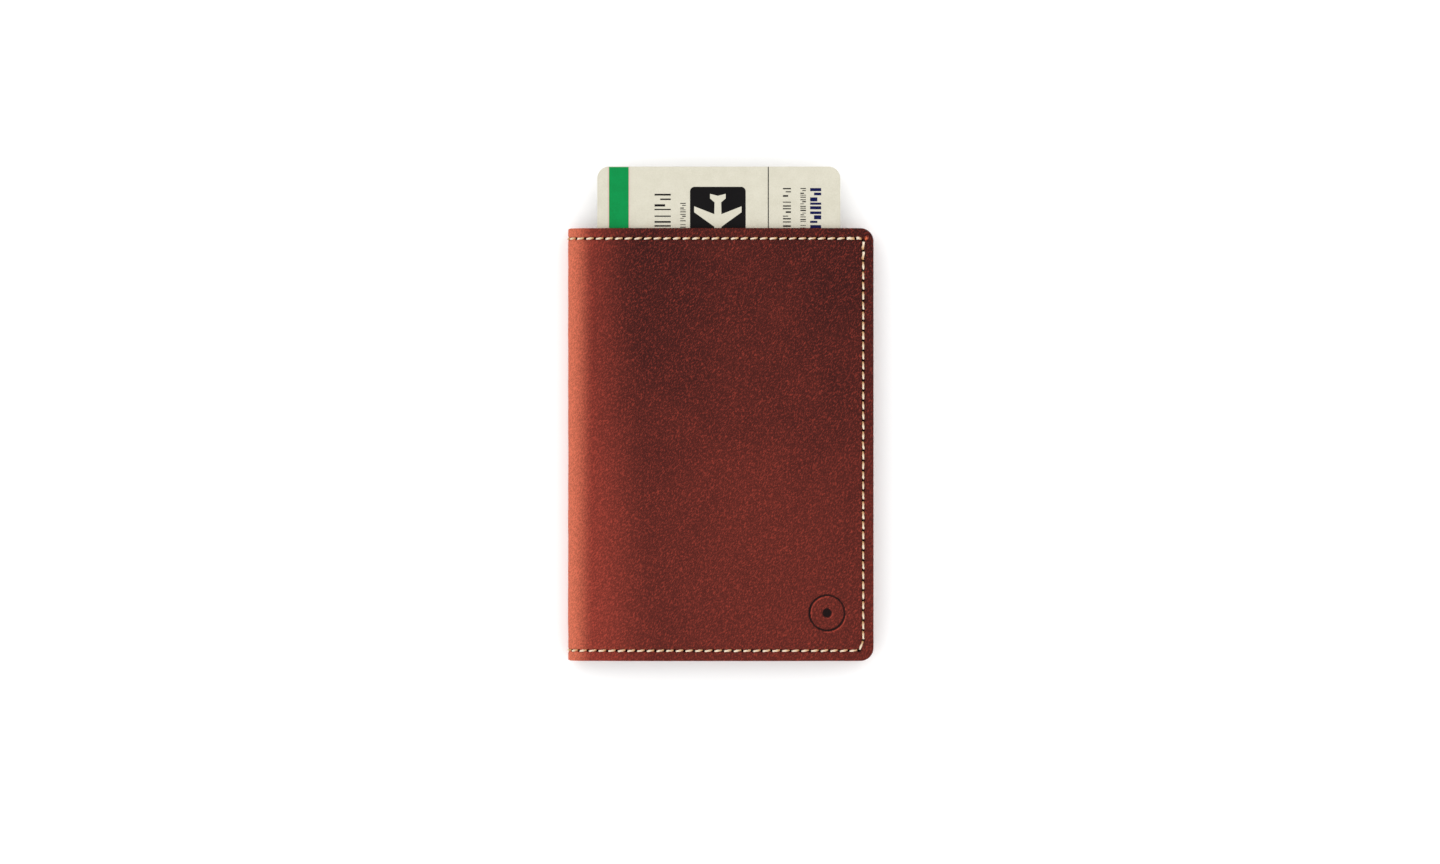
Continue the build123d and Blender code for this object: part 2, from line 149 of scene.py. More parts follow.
def round_corners(x, y):
    """Moves points of a square-cornered grid so that its fore-edge corners are rounded."""
    u = (x - (RIGHT - CORNER_R)) / CORNER_R
    v = (np.abs(y) - (TOP - CORNER_R)) / CORNER_R
    corner = (u > 0) & (v > 0)
    uc = np.clip(u, 0, 1)
    vc = np.clip(v, 0, 1)
    new_x = RIGHT - CORNER_R + CORNER_R * uc * np.sqrt(1 - vc * vc / 2)
    new_y = TOP - CORNER_R + CORNER_R * vc * np.sqrt(1 - uc * uc / 2)
    return np.where(corner, new_x, x), np.where(corner, np.sign(y) * new_y, y)


def front_sag(x, y):
    """How far the front cover's layers lie below their flat plane."""
    to_spine = 1.25 * smooth((-20 - x) / 34) * smooth((x - SPINE_MIDDLE) / 8.5)
    to_fore_edge = 0.9 * smooth((x - 5) / 55) ** 1.2
    ripple = 0.10 * wave_noise(x, y, 75, 3) * smooth((x - FLAT_START) / 12)
    return to_spine + to_fore_edge + ripple


# ---------------------------------------------------------------- where the sheets lie

def round_fold(x):
    """How far unrolled distance x is round the fold, as an angle, and how far past its end."""
    angle = np.clip(FLAT_START - x, 0, FOLD_LENGTH) / FOLD_R
    return angle, np.clip(FLAT_START - FOLD_LENGTH - x, 0, None)


def on_front(x, y, depth):
    """Point of the front cover at unrolled distance x and depth below the outer face."""
    angle, past = round_fold(x)
    radius = FOLD_R - depth
    px = np.where(x >= FLAT_START, x, FLAT_START - radius * np.sin(angle))
    pz = np.where(x >= FLAT_START, THICK - depth, THICK - FOLD_R + radius * np.cos(angle) - past)
    return px, y, pz - front_sag(x, y)


def on_back(x, y, depth):
    """The same for the back cover, which is the front's mirror image but lies quite flat."""
    angle, past = round_fold(x)
    radius = FOLD_R - depth
    px = np.where(x >= FLAT_START, x, FLAT_START - radius * np.sin(angle))
    pz = np.where(x >= FLAT_START, depth, FOLD_R - radius * np.cos(angle) + past)
    return px, y, pz


# ---------------------------------------------------------------- meshes

def new_mesh(name, verts_mm, faces, materials, face_material, uv, sharp_deg=50, pressed=None):
    """Object from points in millimetres, with smooth faces and sharp edges only at corners."""
    mesh = bpy.data.meshes.new(name)
    mesh.from_pydata((np.asarray(verts_mm) * MM).tolist(), [], faces)
    for material in materials:
        mesh.materials.append(material)
    if face_material is not None:
        mesh.polygons.foreach_set("material_index", np.asarray(face_material, np.int32))
    layer = mesh.uv_layers.new(name="UVMap")
    index = np.zeros(len(mesh.loops), np.int32)
    mesh.loops.foreach_get("vertex_index", index)
    layer.data.foreach_set("uv", (np.asarray(uv, float)[index] * MM).astype(np.float32).ravel())
    mesh.polygons.foreach_set("use_smooth", np.ones(len(mesh.polygons), bool))
    # The pressed attribute holds painted shade for holes and pressed lines, and painted highlight
    # beside them.
    if pressed is not None:
        attribute = mesh.attributes.new("pressed", "FLOAT", "POINT")
        attribute.data.foreach_set("value", np.asarray(pressed, np.float32))
    mesh.set_sharp_from_angle(angle=math.radians(sharp_deg))
    mesh.validate()
    obj = bpy.data.objects.new(name, mesh)
    bpy.context.scene.collection.objects.link(obj)
    return obj


def sheet_solid(name, xs, ys, warp, place, face_depth, back_depth, inside, materials, flip=False,
                pressed=None):
    """Closed sheet on a grid: warp shapes its outline, and place lays a face at a given depth."""
    gx, gy = np.meshgrid(xs, ys, indexing="ij")
    cx = (gx[:-1, :-1] + gx[1:, 1:]) / 2
    cy = (gy[:-1, :-1] + gy[1:, 1:]) / 2
    cells = inside(cx, cy) if inside else np.ones_like(cx, bool)
    wx, wy = warp(gx, gy)
    index = np.arange(gx.size).reshape(gx.shape)
    quads = np.stack([index[:-1, :-1], index[1:, :-1], index[1:, 1:], index[:-1, 1:]], -1)[cells]
    front = np.stack([c.ravel() for c in place(wx, wy, face_depth(wx, wy))], -1)
    back = np.stack([c.ravel() for c in place(wx, wy, back_depth(wx, wy))], -1)
    edges = np.concatenate([quads[:, [0, 1]], quads[:, [1, 2]], quads[:, [2, 3]], quads[:, [3, 0]]])
    keys = dict.fromkeys(map(tuple, edges.tolist()))
    rim = [(a, b) for a, b in keys if (b, a) not in keys]
    n = gx.size
    walls = np.array([(b, a, a + n, b + n) for a, b in rim])
    faces = np.concatenate([quads, quads[:, ::-1] + n, walls])
    if flip:
        faces = faces[:, ::-1]
    kinds = np.concatenate([np.zeros(len(quads)), np.full(len(quads), 1), np.full(len(walls), 2)])
    verts = np.concatenate([front, back])
    flat_uv = np.stack([wx.ravel(), wy.ravel()], -1)
    uv = np.concatenate([flat_uv, flat_uv])
    used = np.unique(faces)
    remap = np.full(len(verts), -1)
    remap[used] = np.arange(len(used))
    shade_and_highlight = None
    # Painted shade and highlight, on the points of the front face only.
    if pressed:
        shade_and_highlight = np.concatenate([pressed(wx, wy).ravel(), np.zeros(n)])[used]
    return new_mesh(name, verts[used], remap[faces].tolist(), materials, kinds, uv[used],
                    pressed=shade_and_highlight)


CLOSEST_LINES = 0.11


def lines(low, high, step, extra=()):
    """Grid lines from low to high, about a step apart, with finer bands (centre, reach, step)."""
    values = [np.linspace(low, high, max(2, int(round((high - low) / step)) + 1))]
    for centre, reach, fine in extra:
        values.append(np.arange(centre - reach, centre + reach + fine / 2, fine))
    merged = np.concatenate(values)
    merged = np.unique(np.round(merged[(merged > low) & (merged < high)], 4))
    merged = np.concatenate([[low], merged, [high]])
    kept = [merged[0]]
    for value in merged[1:-1]:
        if value - kept[-1] > CLOSEST_LINES and merged[-1] - value > CLOSEST_LINES:
            kept.append(value)
    kept.append(merged[-1])
    return np.array(kept)


# ---------------------------------------------------------------- stitches: where they run

def row_holes(last, side):
    """Hole positions along the top or bottom row, from the fore-edge to the middle of the spine."""
    xs = [last + HOLE_GAP]
    while xs[-1] - ROW_PITCH > SPINE_MIDDLE + 0.6:
        xs.append(xs[-1] - ROW_PITCH)
    return [(x, side * ROW_Y) for x in xs]


top_holes = row_holes(TOP_ROW_LAST, 1)
bottom_holes = row_holes(TOP_ROW_LAST + BOTTOM_ROW_SHIFT, -1)
column_top = COLUMN_FIRST + COLUMN_PITCH / 2
column_holes = [(COLUMN_X, column_top - k * COLUMN_PITCH) for k in range(COLUMN_COUNT + 1)]
CORNER_HOLE = (45.35, -ROW_Y)
TOP_CORNER_HOLE = (COLUMN_X - 0.3, ROW_Y + 0.1)
all_holes = np.array(top_holes + bottom_holes + column_holes + [CORNER_HOLE])


def near_line(x, y):
    """Distance to the line that the border stitches follow."""
    to_rows = np.where(x < COLUMN_X, np.abs(np.abs(y) - ROW_Y), 9.0)
    to_column = np.where(np.abs(y) < ROW_Y, np.abs(x - COLUMN_X), 9.0)
    return np.minimum(to_rows, to_column)


def stitch_pits(x, y, depth, radius):
    """Depth of the awl holes that the thread dives into."""
    total = np.zeros_like(x)
    near = near_line(x, y) < 2.0
    px, py = x[near], y[near]
    sums = np.zeros_like(px)
    for hx, hy in all_holes:
        close = (np.abs(px - hx) < 1.6) & (np.abs(py - hy) < 1.6)
        r2 = (px[close] - hx) ** 2 + (py[close] - hy) ** 2
        sums[close] = np.maximum(sums[close], depth * np.exp(-r2 / radius**2))
    total[near] = sums
    return total


ORNAMENT = (34.75, -55.0)
RING_MIDDLE = 5.75
DISC_R = 1.6
PRESS_DEPTH = 0.26


def ornament_depth(x, y):
    """Pressed ring round a small disc."""
    r = np.hypot(x - ORNAMENT[0], y - ORNAMENT[1])
    ring = np.exp(-((r - RING_MIDDLE) / 0.42) ** 4)
    disc = smooth((DISC_R + 0.25 - r) / 0.5)
    swell = -0.18 * np.exp(-((r - RING_MIDDLE) / 1.5) ** 2)
    pressed = np.maximum(ring, disc)
    return PRESS_DEPTH * pressed + PRESS_DEPTH * swell * (1 - pressed)


def rounded_edge(x, y, radius):
    """Extra depth that rounds the cut edge of a sheet."""
    e = np.clip(1 - edge_distance(x, y) / radius, 0, 1)
    return radius * (1 - np.sqrt(np.clip(1 - e * e, 0, 1)))


def cover_face(ornament):
    """Depth of a cover's outer face below its flat plane."""
    def depth(x, y):
        channel = CHANNEL_DEPTH * np.exp(-(near_line(x, y) / 0.75) ** 2)
        hills = 0.03 * wave_noise(x, y, 9, 11) + 0.05 * wave_noise(x, y, 26, 5)
        hills = hills * smooth(edge_distance(x, y) / 3)
        pits = stitch_pits(x, y, PIT_DEPTH, PIT_RADIUS)
        total = channel + pits + rounded_edge(x, y, 0.55) + 0.02 + hills
        if ornament:
            total = total + ornament_depth(x, y)
        return total
    return depth


def painted_shade_and_highlight(ornament):
    """Painted shade in the stitch holes and the pressed ring and disc. Below zero it is a painted
    highlight instead, beside the ring's lower right edges.
    """
    def amount(x, y):
        # Painted shade in the stitch holes, a little wider than the holes.
        shade_and_highlight = stitch_pits(x, y, 1.0, 0.50)
        if ornament:
            # Painted highlight on the lower right side of the pressed lines, just outside them.
            highlight_offset = 0.30
            raised = ornament_depth(x - highlight_offset, y + highlight_offset) / PRESS_DEPTH
            raised = 0.7 * np.clip(raised, 0, 1) * (ornament_depth(x, y) < 0.05)
            shade_and_highlight = np.maximum(shade_and_highlight, 0.66 * ornament_depth(x, y) / PRESS_DEPTH) - raised
        return np.clip(shade_and_highlight, -1, 1)
    return amount


def constant(value):
    """A face at one depth."""
    return lambda x, y: np.full_like(x, value)


def inner_face(value, radius=0.2):
    """An inner face whose edge is rounded the other way."""
    return lambda x, y: value - rounded_edge(x, y, radius)


def sheared_warp(x, y):
    """Rounds the corners, and slides the lower row of holes along by its offset."""
    share = smooth((ROW_Y - y) / (2 * ROW_Y))
    fade = smooth((x - SPINE_MIDDLE) / 8) * smooth((RIGHT - 1.0 - x) / 5)
    return round_corners(x + BOTTOM_ROW_SHIFT * share * fade, y)


# ---------------------------------------------------------------- materials

def srgb(r, g, b):
    """Linear colour from 0-255 screen values."""
    def one(c):
        c = c / 255
        return c / 12.92 if c <= 0.04045 else ((c + 0.055) / 1.055) ** 2.4
    return (one(r), one(g), one(b), 1.0)


class Nodes:
    """Short way to wire a material's nodes."""

    def __init__(self, name):
        self.material = bpy.data.materials.new(name)
        self.material.use_nodes = True
        self.tree = self.material.node_tree
        self.shader = self.tree.nodes["Principled BSDF"]

    def add(self, kind, **settings):
        """New node, with properties set, and inputs set or linked by name."""
        node = self.tree.nodes.new(kind)
        for key, value in settings.items():
            key = key.replace("__", " ")
            if key in node.inputs:
                self.put(node.inputs[key], value)
            else:
                setattr(node, key, value)
        return node

    def put(self, socket, value):
        """Set or link one input."""
        if isinstance(value, bpy.types.NodeSocket):
            self.tree.links.new(value, socket)
        else:
            socket.default_value = value

    def math(self, operation, a, b=0.0):
        """One sum."""
        node = self.add("ShaderNodeMath", operation=operation)
        self.put(node.inputs[0], a)
        self.put(node.inputs[1], b)
        return node.outputs[0]

    def mix(self, factor, a, b):
        """Colour mix."""
        node = self.add("ShaderNodeMix", data_type="RGBA")
        self.put(node.inputs[0], factor)
        self.put(node.inputs[6], a)
        self.put(node.inputs[7], b)
        return node.outputs[2]

    def remap(self, value, low, high, to_low=0.0, to_high=1.0):
        """Map a range to another smoothly, clamped."""
        node = self.add("ShaderNodeMapRange", interpolation_type="SMOOTHSTEP")
        self.put(node.inputs[0], value)
        for slot_index, number in enumerate((low, high, to_low, to_high), 1):
            node.inputs[slot_index].default_value = number
        return node.outputs[0]

    def noise(self, vector, scale, detail=3.0, rough=0.55, distort=0.0):
        """Noise value."""
        node = self.add("ShaderNodeTexNoise", Vector=vector, Scale=scale, Detail=detail,
                        Roughness=rough, Distortion=distort)
        return node.outputs["Fac"]

    def stretched(self, vector, angle_deg, scale):
        """Coordinates turned, then scaled along each axis."""
        turned = self.add("ShaderNodeMapping", Vector=vector)
        turned.inputs["Rotation"].default_value = (0, 0, math.radians(angle_deg))
        scaled = self.add("ShaderNodeMapping", Vector=turned.outputs[0])
        scaled.inputs["Scale"].default_value = scale
        return scaled.outputs[0]

    def bump(self, height, strength, distance, normal=None):
        """Bump, on top of another."""
        node = self.add("ShaderNodeBump", Strength=strength, Distance=distance, Height=height)
        if normal is not None:
            self.put(node.inputs["Normal"], normal)
        return node.outputs[0]


def leather_grain(n, uv):
    """Pebbled grain, about 0.3 by 0.7 mm and drawn out along one diagonal, and a finer tooth."""
    diagonal = n.stretched(uv, -56, (1500, 3400, 1))
    cells = n.add("ShaderNodeTexVoronoi", feature="SMOOTH_F1", Vector=diagonal, Scale=1.0)
    pebbles = cells.outputs["Distance"]
    wrinkles = n.noise(diagonal, 1.1, 3, 0.6, 0.4)
    fine = n.noise(uv, 2600, 2, 0.6)
    grain = n.math("ADD", n.math("MULTIPLY", pebbles, 0.45), n.math("MULTIPLY", wrinkles, 0.80))
    return grain, fine


def outer_leather(name):
    """Waxed pull-up leather, redder where rubbed; lighter at the spine's fold, partly from the stretch
    and partly a painted highlight.
    """
    n = Nodes(name)
    uv = n.add("ShaderNodeUVMap", uv_map="UVMap").outputs[0]
    parts = n.add("ShaderNodeSeparateXYZ", Vector=uv)
    x, y = parts.outputs[0], parts.outputs[1]
    grain, fine = leather_grain(n, uv)

    clouds = n.noise(uv, 22, 3, 0.5, 0.3)
    blotches = n.noise(uv, 75, 3, 0.55)
    low_light = n.remap(y, 0.075, -0.075)
    shade = n.math("ADD", n.math("MULTIPLY", low_light, 0.55), n.math("MULTIPLY", clouds, 0.55))
    shade = n.math("ADD", shade, n.math("MULTIPLY", n.math("SUBTRACT", blotches, 0.5), 0.35))
    off_middle = n.math("ABSOLUTE", n.math("SUBTRACT", x, 0.011))
    middle = n.math("SUBTRACT", 1.0, n.remap(off_middle, 0.0, 0.04))
    shade = n.math("ADD", shade, n.math("MULTIPLY", middle, 0.14))
    base = n.mix(n.remap(shade, 0.12, 0.95), DARK, LIGHT)

    # Lighter towards the spine's fold: partly the lighter stretched pull-up leather, partly a painted
    # highlight from light on the left.
    wander = n.math("MULTIPLY", n.math("SUBTRACT", clouds, 0.5), 0.012)
    lower = n.math("MULTIPLY", n.math("SUBTRACT", low_light, 0.35), -0.006)
    fold_stretch_and_highlight = n.remap(n.math("ADD", n.math("ADD", x, wander), lower), -0.0245, -0.049)
    base = n.mix(n.math("MULTIPLY", fold_stretch_and_highlight, 0.75), base, WARM)
    # Painted highlight along the outer rim of the fold.
    rim = n.remap(x, -0.0415, -0.0495)
    base = n.mix(n.math("MULTIPLY", rim, 0.8), base, SPINE_HIGHLIGHT)

    speckle = n.remap(grain, 0.46, 0.80, 0.0, 1.0)
    base = n.mix(n.math("MULTIPLY", n.math("SUBTRACT", 1.0, speckle), 0.50), base, DEEP)
    base = n.mix(n.math("MULTIPLY", n.remap(grain, 0.58, 0.88), 0.46), base, GLINT)

    scratches = n.stretched(uv, 14, (90, 1500, 1))
    scratch = n.remap(n.noise(scratches, 1.0, 2, 0.5), 0.70, 0.78)
    patch = n.remap(n.noise(uv, 48, 1, 0.5), 0.55, 0.72)
    base = n.mix(n.math("MULTIPLY", n.math("MULTIPLY", scratch, patch), 0.30), base, WARM)

    # Painted shade in the stitch holes and the pressed ring, and a painted highlight beside the ring,
    # read from the pressed attribute.
    shade_and_highlight = n.add("ShaderNodeAttribute", attribute_name="pressed").outputs["Fac"]
    base = n.mix(n.remap(shade_and_highlight, -0.05, -0.6, 0.0, 0.75), base, WARM)
    base = n.mix(n.remap(shade_and_highlight, 0.12, 0.72, 0.0, 1.0), base, RECESS_SHADE)

    n.put(n.shader.inputs["Base Color"], base)
    roughness = n.math("ADD", n.remap(grain, 0.3, 0.9, 0.62, 0.50), n.math("MULTIPLY", fine, 0.08))
    n.put(n.shader.inputs["Roughness"], roughness)
    n.shader.inputs["Specular IOR Level"].default_value = 0.10
    bumped = n.bump(fine, 0.10, 0.00006)
    bumped = n.bump(grain, 0.42, 0.00016, bumped)
    n.put(n.shader.inputs["Normal"], bumped)
    return n.material


def plain_leather(name, dark, light, grain_strength=0.3):
    """Thinner leather of the pockets and the lining, with a finer print."""
    n = Nodes(name)
    uv = n.add("ShaderNodeUVMap", uv_map="UVMap").outputs[0]
    grain, fine = leather_grain(n, uv)
    clouds = n.noise(uv, 26, 3, 0.5)
    cloudy = n.math("MULTIPLY", n.remap(clouds, 0.25, 0.8), 0.45)
    tone = n.math("ADD", cloudy, n.math("MULTIPLY", fine, 0.5))
    base = n.mix(tone, dark, light)
    base = n.mix(n.math("MULTIPLY", n.remap(grain, 0.80, 0.46), 0.34), base, DEEP)
    n.put(n.shader.inputs["Base Color"], base)
    n.put(n.shader.inputs["Roughness"], n.remap(grain, 0.3, 0.9, 0.72, 0.58))
    n.shader.inputs["Specular IOR Level"].default_value = 0.12
    bumped = n.bump(grain, grain_strength, 0.00012, n.bump(fine, 0.1, 0.00005))
    n.put(n.shader.inputs["Normal"], bumped)
    return n.material


def cut_edge(name, dark, light):
    """Cut leather edge, burnished, with a fibrous streak along it."""
    n = Nodes(name)
    place = n.add("ShaderNodeTexCoord").outputs["Object"]
    streaks = n.stretched(place, 0, (300, 300, 2600))
    fibres = n.noise(streaks, 1.0, 4, 0.6)
    clouds = n.noise(place, 160, 3, 0.5)
    mixed = n.math("ADD", n.math("MULTIPLY", fibres, 0.6), n.math("MULTIPLY", clouds, 0.4))
    base = n.mix(n.remap(mixed, 0.35, 0.65), dark, light)
    n.put(n.shader.inputs["Base Color"], base)
    n.put(n.shader.inputs["Roughness"], n.remap(fibres, 0.3, 0.7, 0.42, 0.62))
    n.put(n.shader.inputs["Normal"], n.bump(fibres, 0.35, 0.00012))
    return n.material


def thread_material(name, cream, gold):
    """Waxed thread with fine fibres: cream at each stitch's starting end, a painted highlight, fading
    to gold at the other.
    """
    n = Nodes(name)
    uv = n.add("ShaderNodeUVMap", uv_map="UVMap").outputs[0]
    parts = n.add("ShaderNodeSeparateXYZ", Vector=uv)
    place = n.add("ShaderNodeTexCoord").outputs["Object"]
    fibres = n.noise(n.stretched(place, 35, (900, 6000, 900)), 1.0, 3, 0.6)
    # Painted highlight: lighter cream at the starting end of each stitch, fading to gold along it.
    along = n.math("MULTIPLY", parts.outputs[0], 1000.0)
    highlight_fade = n.math("ADD", n.math("MULTIPLY", along, 0.8), n.math("MULTIPLY", fibres, 0.35))
    n.put(n.shader.inputs["Base Color"], n.mix(n.remap(highlight_fade, 0.25, 1.0), cream, gold))
    n.shader.inputs["Roughness"].default_value = 0.42
    n.shader.inputs["Sheen Weight"].default_value = 0.25
    n.put(n.shader.inputs["Normal"], n.bump(fibres, 0.5, 0.00008))
    return n.material


def card_material(name, dark, light, roughness=0.62):
    """Uncoated card or printed ink, with fine paper tooth."""
    n = Nodes(name)
    place = n.add("ShaderNodeTexCoord").outputs["Object"]
    tooth = n.noise(place, 2600, 3, 0.6)
    clouds = n.noise(place, 210, 3, 0.6)
    mixed = n.math("ADD", n.math("MULTIPLY", tooth, 0.6), n.math("MULTIPLY", clouds, 0.4))
    n.put(n.shader.inputs["Base Color"], n.mix(n.remap(mixed, 0.32, 0.68), dark, light))
    n.shader.inputs["Roughness"].default_value = roughness
    n.shader.inputs["Specular IOR Level"].default_value = 0.10
    n.put(n.shader.inputs["Normal"], n.bump(tooth, 0.22, 0.00004))
    return n.material


DARK = srgb(60, 17, 14)
LIGHT = srgb(104, 37, 28)
WARM = srgb(160, 62, 48)
# Painted highlight for the spine's fold.
SPINE_HIGHLIGHT = srgb(238, 128, 96)
DEEP = srgb(18, 4, 4)
GLINT = srgb(168, 62, 46)
# Painted shade for the stitch holes and the pressed ring.
RECESS_SHADE = srgb(10, 3, 3)

hide = outer_leather("outer_hide")
hide_edge = cut_edge("hide_edge", srgb(120, 58, 36), srgb(188, 112, 74))
flesh_side = plain_leather("hide_flesh_side", srgb(120, 70, 48), srgb(148, 94, 66), 0.2)
pocket_hide = plain_leather("pocket_hide", srgb(86, 32, 24), srgb(116, 46, 34))
pocket_edge = cut_edge("pocket_edge", srgb(98, 48, 34), srgb(156, 90, 62))
lining_hide = plain_leather("lining_hide", srgb(118, 60, 40), srgb(146, 80, 54), 0.22)
lining_edge = cut_edge("lining_edge", srgb(96, 54, 38), srgb(160, 104, 74))
thread = thread_material("waxed_thread", srgb(228, 213, 188), srgb(180, 128, 66))
thread_end = thread_material("thread_end_fibres", srgb(236, 120, 60), srgb(190, 60, 24))
card = card_material("pass_card", srgb(194, 190, 173), srgb(204, 200, 184))
ink_green = card_material("print_green", srgb(0, 124, 60), srgb(0, 138, 70), 0.6)
ink_black = card_material("print_black", srgb(10, 8, 9), srgb(14, 12, 13), 0.7)
ink_navy = card_material("print_navy", srgb(6, 12, 62), srgb(8, 16, 70), 0.7)
ink_pink = card_material("print_border", srgb(200, 176, 164), srgb(206, 184, 172), 0.6)

# ---------------------------------------------------------------- outer leather

hole_phase = [TOP_ROW_LAST + HOLE_GAP - k * ROW_PITCH for k in range(31)]
fine_x = [(hx, 0.56, 0.28) for hx in hole_phase if hx > SPINE_MIDDLE + 1]
fine_y = [(hy, 0.56, 0.28) for _, hy in column_holes]
row_bands = [(side * ROW_Y, 1.1, 0.22) for side in (1, -1)]
edge_bands_y = [(side * (TOP - 0.3), 0.3, 0.15) for side in (1, -1)]
mark_x = [(ORNAMENT[0], 7.0, 0.35)]
mark_y = [(ORNAMENT[1], 7.0, 0.35)]
bands_x = fine_x + [(COLUMN_X, 1.1, 0.22), (RIGHT - 0.3, 0.3, 0.15)]
bands_y = fine_y + row_bands + edge_bands_y
cover_xs = lines(SPINE_MIDDLE, RIGHT, 1.3, bands_x + mark_x)
cover_ys = lines(-TOP, TOP, 1.4, bands_y + mark_y)
plain_xs = lines(SPINE_MIDDLE, RIGHT, 1.3, bands_x)
plain_ys = lines(-TOP, TOP, 1.4, bands_y)

hide_slots = [hide, flesh_side, hide_edge]
front_hide = sheet_solid("front_wrap_leather", cover_xs, cover_ys, sheared_warp, on_front,
                         cover_face(True), inner_face(LEATHER - 0.02), None, hide_slots,
                         pressed=painted_shade_and_highlight(True))
back_hide = sheet_solid("back_wrap_leather", plain_xs, plain_ys, sheared_warp, on_back,
                        cover_face(False), inner_face(LEATHER - 0.02), None, hide_slots, flip=True,
                        pressed=painted_shade_and_highlight(False))


def bend_front(obj):
    """Bakes the placing into a sheet that follows the spine, then the front cover."""
    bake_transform(obj)


def bend_back(obj):
    """Bakes the placing into a sheet that follows the back cover, then the spine."""
    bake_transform(obj)


bend_front(front_hide)
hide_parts("front_cover_leather", "spine_leather")
bend_back(back_hide)
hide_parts("back_cover_leather")

# ---------------------------------------------------------------- linings

lining_xs = lines(SPINE_MIDDLE, RIGHT, 2.0, [(FLAT_START - 5, 5, 0.6), (RIGHT - 0.2, 0.2, 0.1)])
lining_ys = lines(-TOP, TOP, 3.0, [(side * (TOP - 0.2), 0.2, 0.1) for side in (1, -1)])
lining_slots = [lining_hide, lining_hide, lining_edge]


def lining_face(x, y):
    """Outer face of a lining, against the hide."""
    return LEATHER + 0.02 + rounded_edge(x, y, 0.15)


def lining_back(x, y):
    """Inner face of a lining, with a faint pull along the stitches."""
    pull = 0.08 * np.exp(-(near_line(x, y) / 0.9) ** 2)
    return LEATHER + LINING - rounded_edge(x, y, 0.15) - pull


front_lining = sheet_solid("front_wrap_lining", lining_xs, lining_ys, round_corners, on_front,
                           lining_face, lining_back, None, lining_slots)
bend_front(front_lining)
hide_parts("front_cover_lining", "spine_lining")
back_lining = sheet_solid("back_wrap_lining", lining_xs, lining_ys, round_corners, on_back,
                          lining_face, lining_back, None, lining_slots, flip=True)
bend_back(back_lining)
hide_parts("back_cover_lining")

# ---------------------------------------------------------------- pockets

CREASE_INSET = 2.2


def panel_solid(name, node, body, place, face_depth, thickness, left, bottom, mouth, gap=0.0,
                inside=None, top_shape=None, left_shape=None, extra_x=(), extra_y=(), flip=False):
    """Pocket panel: a crease follows its mouth, and its margins dip by gap to the layer beneath."""
    top_line = top_shape or (lambda x: np.full_like(x, mouth))
    left_line = left_shape or (lambda y: np.full_like(y, left))

    def warp(x, y):
        share_y = (y - bottom) / (mouth - bottom)
        warped_y = bottom + (top_line(x) - bottom) * share_y
        share_x = (x - left) / (RIGHT - left)
        warped_x = left_line(y) + (RIGHT - left_line(y)) * share_x
        return round_corners(warped_x, warped_y)

    def free_edge(x, y):
        return x - left_line(y) if left_shape else top_line(x) - y

    def relief(x, y):
        crease = 0.10 * np.exp(-((free_edge(x, y) - CREASE_INSET) / 0.28) ** 2)
        lip = np.clip(1 - free_edge(x, y) / 0.25, 0, 1)
        pull = 0.10 * np.exp(-(near_line(x, y) / 0.8) ** 2)
        return crease + 0.12 * lip * lip + pull

    def dip(x, y):
        margin = np.minimum(RIGHT - x, TOP - np.abs(y))
        return gap * (1 - smooth((margin - 3.6) / 5.0))

    def outer(x, y):
        return face_depth - dip(x, y) - relief(x, y) - rounded_edge(x, y, 0.2)

    def inner(x, y):
        lip = np.clip(1 - free_edge(x, y) / 0.25, 0, 1)
        return face_depth - thickness - dip(x, y) + 0.10 * lip * lip + rounded_edge(x, y, 0.15)

    xs = lines(left, RIGHT, 2.2, [(COLUMN_X, 0.9, 0.3), (RIGHT - 0.2, 0.2, 0.1), *extra_x])
    mouth_bands = [(mouth - CREASE_INSET, 0.6, 0.2), (mouth - 0.2, 0.2, 0.1)]
    ys = lines(bottom, mouth, 2.6, [*mouth_bands, *extra_y])
    slots = [pocket_hide, flesh_side, pocket_edge]
    obj = sheet_solid(name, xs, ys, warp, place, outer, inner, inside, slots, flip)
    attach(obj, body)
    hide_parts(node)
    return obj


card_nodes = ["card_pocket_lower_panel", "card_pocket_middle_panel", "card_pocket_upper_panel"]
card_levels = [THICK - node_box(node)[0][2] for node in card_nodes] + [THICK - pocket_low[2]]
PANEL_LEFT = pocket_low[0]
pass_middle = (pass_low[0] + pass_high[0]) / 2


def notch_line(x):
    """Mouth of the pass pocket, with its thumb notch."""
    reach = np.clip(np.abs(x - pass_middle) / 12.5, 0, 1)
    return pocket_high[1] - 9.5 * (1 - smooth(reach)) ** 0.8


panel_solid("pass_pocket_panel", "boarding_pass_pocket_panel", "front_cover", on_front,
            card_levels[3], POCKET_LEATHER, PANEL_LEFT, -TOP, pocket_high[1], top_shape=notch_line,
            extra_x=[(pass_middle, 13, 0.8)], extra_y=[(-ROW_Y, 0.9, 0.3)], flip=True)

WING = 15.0
CARD_BODY = (-37.8, 43.0)
for node, level in zip(card_nodes, card_levels):
    low, high = node_box(node)
    lowest = node == card_nodes[0]
    wing_bottom = high[1] - WING

    def in_tee(x, y, wing_bottom=wing_bottom, lowest=lowest):
        """Cells of the T: the wings above, the narrower body below."""
        narrow = (x > CARD_BODY[0]) & (x < CARD_BODY[1])
        return (y > wing_bottom) | narrow | lowest

    panel_solid(node.replace("_panel", "_leather"), node, "front_cover", on_front, level,
                CARD_LEATHER, PANEL_LEFT, low[1], high[1], inside=in_tee,
                extra_x=[(side_x, 0.3, 0.3) for side_x in CARD_BODY],
                extra_y=[(wing_bottom, 0.3, 0.3)] + ([(-ROW_Y, 0.9, 0.3)] if lowest else []),
                flip=True)

SLEEVE_BOW = 12.0
SLEEVE_GAP = 0.42


